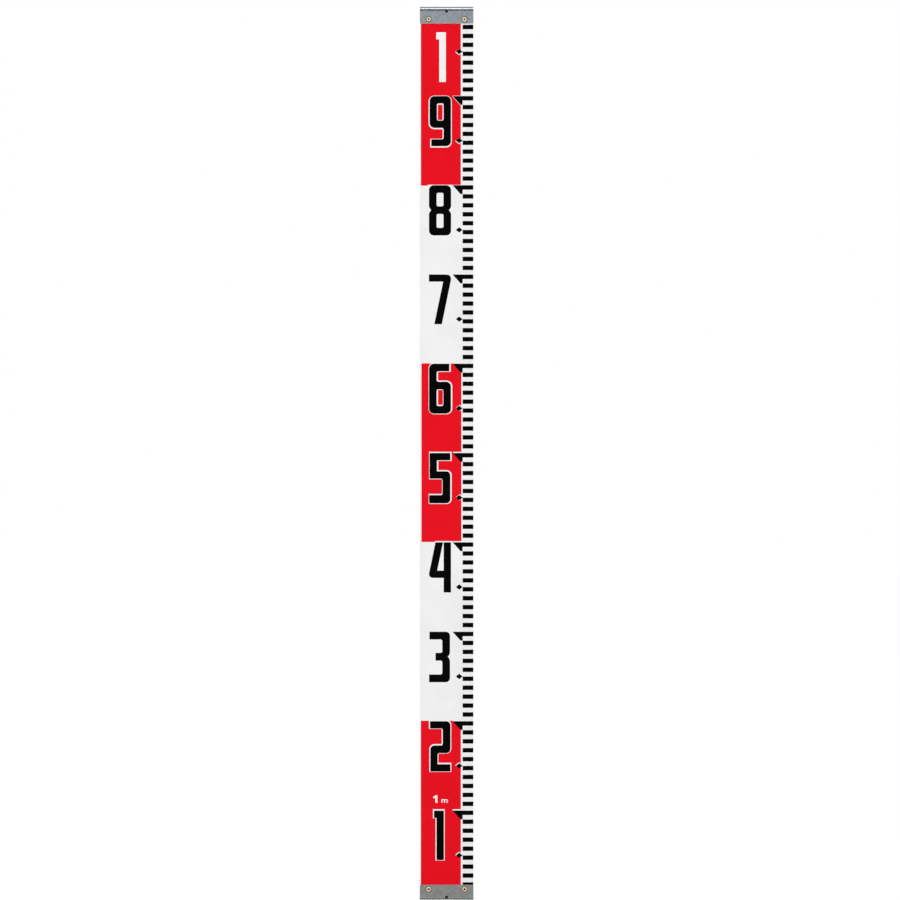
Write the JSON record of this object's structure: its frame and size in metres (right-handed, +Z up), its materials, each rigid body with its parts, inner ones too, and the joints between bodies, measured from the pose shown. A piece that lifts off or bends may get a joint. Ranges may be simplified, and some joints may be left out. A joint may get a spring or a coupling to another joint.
{
  "type": "leveling staff",
  "caption": "Flexible ribbon leveling staff with red and white fields and a printed centimetre scale, each end held in a folded metal fitting by hollow brass rivets.",
  "frame": {"origin": "middle of the bottom end of the staff, on its middle plane, 1.5 mm below the zero of the scale", "axes": "+Z up along the staff, +X to the reader's right across the ribbon, the printed face towards -Y"},
  "size_m": [0.06, 0.0042, 1.002],
  "materials": {
    "cloth_core": "woven polyester cloth, undyed",
    "white_coat": "soft white vinyl coat, satin",
    "red_ink": "red printing ink, satin",
    "black_ink": "black printing ink, satin",
    "fitting_metal": "plated sheet steel, satin",
    "rivet_brass": "bright brass"
  },
  "bodies": {
    "root": {"woven_core": "cloth_core", "front_coat": "white_coat", "back_coat": "white_coat", "red_field_1": "red_ink", "red_field_2": "red_ink", "red_field_3": "red_ink", "centimetre_blocks": "black_ink", "decimetre_flags": "black_ink", "half_decimetre_diamonds": "black_ink", "bottom_end_fitting": "fitting_metal", "top_end_fitting": "fitting_metal", "bottom_left_rivet": "rivet_brass", "bottom_right_rivet": "rivet_brass", "top_left_rivet": "rivet_brass", "top_right_rivet": "rivet_brass"}
  },
  "joints": []
}
